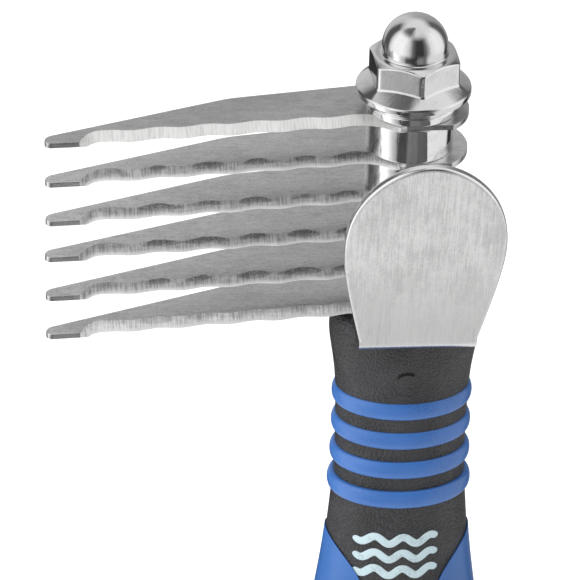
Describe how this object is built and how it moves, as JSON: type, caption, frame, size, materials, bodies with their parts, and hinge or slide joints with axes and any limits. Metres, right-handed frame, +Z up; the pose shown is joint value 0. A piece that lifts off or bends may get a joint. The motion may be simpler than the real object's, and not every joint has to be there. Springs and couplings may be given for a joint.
{
  "type": "dematting comb",
  "caption": "Dematting comb: stacked wavy-edged steel blades on a stud with spacers, domed cap nut, bent thumb rest and oval soft-grip handle with a hanging hole.",
  "frame": {"origin": "centre of the hanging hole in the handle's lower end", "axes": "+Z up the handle to the cap nut, -X towards the blade tips, -Y towards the face of the thumb rest"},
  "size_m": [0.072, 0.0335, 0.1646],
  "materials": {
    "black_plastic": "satin moulded plastic",
    "black_rubber": "satin soft-touch rubber",
    "blue_rubber": "satin soft-touch rubber",
    "zinc_steel": "bright zinc plated",
    "brushed_steel": "brushed face, polished rim",
    "blade_steel": "brushed flats, ground bevel",
    "chrome": "polished chrome"
  },
  "bodies": {
    "root": {"handle_core": "black_plastic", "grip_sleeve": "black_rubber", "grip_ring_1": "blue_rubber", "grip_ring_2": "blue_rubber", "grip_ring_3": "blue_rubber", "grip_ring_4": "blue_rubber", "grip_panel_left": "blue_rubber", "grip_panel_right": "blue_rubber", "locator_plugs": "black_plastic", "stud": "zinc_steel", "stud_cross_pin": "zinc_steel", "rest_dowel": "zinc_steel", "thumb_rest": "brushed_steel", "spacer_1": "chrome", "spacer_2": "chrome", "spacer_3": "chrome", "spacer_4": "chrome", "spacer_5": "chrome"},
    "blade_1": {"blade_1": "blade_steel"},
    "blade_2": {"blade_2": "blade_steel"},
    "blade_3": {"blade_3": "blade_steel"},
    "blade_4": {"blade_4": "blade_steel"},
    "blade_5": {"blade_5": "blade_steel"},
    "blade_6": {"blade_6": "blade_steel"},
    "collar": {"top_collar": "chrome"},
    "nut": {"cap_nut": "chrome"}
  },
  "joints": [
    {"name": "blade_1_swivel", "type": "hinge", "parent": "root", "child": "blade_1", "pos_m": [0, 0, 0.13746], "axis": [0, 0, 1], "range_deg": [-200, 30]},
    {"name": "blade_2_swivel", "type": "hinge", "parent": "root", "child": "blade_2", "pos_m": [0, 0, 0.13076], "axis": [0, 0, 1], "range_deg": [-200, 30]},
    {"name": "blade_3_swivel", "type": "hinge", "parent": "root", "child": "blade_3", "pos_m": [0, 0, 0.12406], "axis": [0, 0, 1], "range_deg": [-200, 30]},
    {"name": "blade_4_swivel", "type": "hinge", "parent": "root", "child": "blade_4", "pos_m": [0, 0, 0.11736], "axis": [0, 0, 1], "range_deg": [-200, 30]},
    {"name": "blade_5_swivel", "type": "hinge", "parent": "root", "child": "blade_5", "pos_m": [0, 0, 0.11066], "axis": [0, 0, 1], "range_deg": [-200, 30]},
    {"name": "blade_6_swivel", "type": "hinge", "parent": "root", "child": "blade_6", "pos_m": [0, 0, 0.10396], "axis": [0, 0, 1], "range_deg": [-200, 30]},
    {"name": "nut_lift", "type": "slide", "parent": "root", "child": "collar", "axis": [0, 0, 1], "range_m": [0, 0.01]},
    {"name": "nut_turn", "type": "hinge", "parent": "collar", "child": "nut", "pos_m": [0, 0, 0.14062], "axis": [0, 0, 1], "range_deg": [0, 2880]}
  ],
  "couplings": [
    {"joint": "nut_lift", "follows": "nut_turn", "m_per_rad": 0.00019894}
  ]
}
